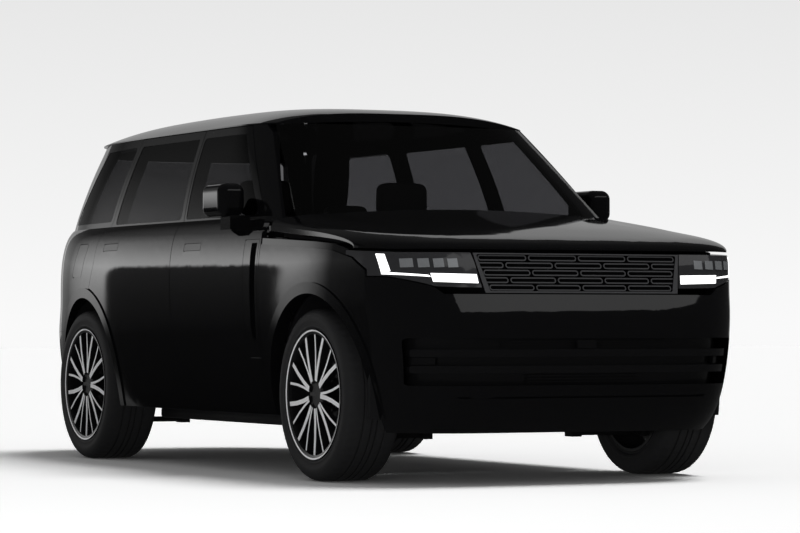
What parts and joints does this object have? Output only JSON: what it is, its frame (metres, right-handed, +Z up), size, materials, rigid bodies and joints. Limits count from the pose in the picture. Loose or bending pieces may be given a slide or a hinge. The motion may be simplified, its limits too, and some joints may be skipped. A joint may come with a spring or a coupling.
{
  "type": "sport utility vehicle",
  "caption": "Full-size luxury sport utility vehicle, gloss black, with tinted flush glass, slim lit headlamps, fine-bar grille and large multi-spoke alloy wheels.",
  "frame": {"origin": "ground under the middle of the overall length and width", "axes": "+X forward, +Y to the left of the vehicle, +Z up"},
  "size_m": [5.0507, 2.209, 1.8708],
  "materials": {
    "paint": "gloss black",
    "trim": "gloss black",
    "plastic": "matt",
    "glass": "tinted clear",
    "lamp": "clear",
    "lamp_red": "gloss red",
    "alloy": "machined",
    "rubber": "matt",
    "steel": "cast",
    "leather": "satin"
  },
  "bodies": {
    "body": {"body_side_left": "paint", "body_side_right": "paint", "bulkhead": "plastic", "dashboard": "plastic", "engine_block": "steel", "fender_left": "paint", "fender_right": "paint", "floor": "plastic", "front_axle": "steel", "front_bumper": "paint", "front_frame": "steel", "front_seats": "leather", "grille": "trim", "headlights": "lamp", "lower_grille": "trim", "quarter_glass": "glass", "rear_axle": "steel", "rear_bench": "leather", "rear_bumper": "paint", "rear_frame": "steel", "rear_knuckle_left": "steel", "rear_knuckle_right": "steel", "roof": "paint", "tail_lights": "lamp_red", "wheel_liners": "plastic", "windshield": "glass"},
    "front_door_right": {"front_door_right": "paint", "front_door_glass_right": "glass", "mirror_right": "paint"},
    "rear_door_right": {"rear_door_right": "paint", "rear_door_glass_right": "glass"},
    "front_knuckle_right": {"front_knuckle_right": "steel"},
    "front_wheel_right": {"front_wheel_right": "alloy", "front_tyre_right": "rubber"},
    "rear_wheel_right": {"rear_wheel_right": "alloy", "rear_tyre_right": "rubber"},
    "front_door_left": {"front_door_left": "paint", "front_door_glass_left": "glass", "mirror_left": "paint"},
    "rear_door_left": {"rear_door_left": "paint", "rear_door_glass_left": "glass"},
    "front_knuckle_left": {"front_knuckle_left": "steel"},
    "front_wheel_left": {"front_wheel_left": "alloy", "front_tyre_left": "rubber"},
    "rear_wheel_left": {"rear_wheel_left": "alloy", "rear_tyre_left": "rubber"},
    "hood": {"hood": "paint"},
    "tailgate": {"tailgate": "paint", "rear_glass": "glass"},
    "steering_wheel": {"steering_wheel": "leather"}
  },
  "joints": [
    {"name": "front_door_right_hinge", "type": "hinge", "parent": "body", "child": "front_door_right", "pos_m": [1.054, -1.011, 0.8], "axis": [0, 0, 1], "range_deg": [0, 68]},
    {"name": "rear_door_right_hinge", "type": "hinge", "parent": "body", "child": "rear_door_right", "pos_m": [-0.071, -1.011, 0.8], "axis": [0, 0, 1], "range_deg": [0, 70]},
    {"name": "steer_right", "type": "hinge", "parent": "body", "child": "front_knuckle_right", "pos_m": [1.648, -0.8, 0.406], "axis": [0, 0, 1], "range_deg": [-35, 35]},
    {"name": "front_wheel_right_spin", "type": "hinge", "parent": "front_knuckle_right", "child": "front_wheel_right", "pos_m": [1.648, -0.851, 0.406], "axis": [0, 1, 0], "continuous": true},
    {"name": "rear_wheel_right_spin", "type": "hinge", "parent": "body", "child": "rear_wheel_right", "pos_m": [-1.349, -0.851, 0.406], "axis": [0, 1, 0], "continuous": true},
    {"name": "front_door_left_hinge", "type": "hinge", "parent": "body", "child": "front_door_left", "pos_m": [1.054, 1.011, 0.8], "axis": [0, 0, -1], "range_deg": [0, 68]},
    {"name": "rear_door_left_hinge", "type": "hinge", "parent": "body", "child": "rear_door_left", "pos_m": [-0.071, 1.011, 0.8], "axis": [0, 0, -1], "range_deg": [0, 70]},
    {"name": "steer_left", "type": "hinge", "parent": "body", "child": "front_knuckle_left", "pos_m": [1.648, 0.8, 0.406], "axis": [0, 0, 1], "range_deg": [-35, 35]},
    {"name": "front_wheel_left_spin", "type": "hinge", "parent": "front_knuckle_left", "child": "front_wheel_left", "pos_m": [1.648, 0.851, 0.406], "axis": [0, 1, 0], "continuous": true},
    {"name": "rear_wheel_left_spin", "type": "hinge", "parent": "body", "child": "rear_wheel_left", "pos_m": [-1.349, 0.851, 0.406], "axis": [0, 1, 0], "continuous": true},
    {"name": "hood_hinge", "type": "hinge", "parent": "body", "child": "hood", "pos_m": [1.09, 0, 1.215], "axis": [0, -1, 0], "range_deg": [0, 50]},
    {"name": "tailgate_hinge", "type": "hinge", "parent": "body", "child": "tailgate", "pos_m": [-1.964, 0, 1.824], "axis": [0, 1, 0], "range_deg": [0, 80]},
    {"name": "steering_wheel_turn", "type": "hinge", "parent": "body", "child": "steering_wheel", "pos_m": [0.56, 0.4, 1.03], "axis": [-0.9272, 0, 0.3746], "range_deg": [-490, 490]}
  ],
  "couplings": [
    {"joint": "steer_left", "follows": "steer_right", "ratio": 1},
    {"joint": "steering_wheel_turn", "follows": "steer_right", "ratio": 14}
  ]
}
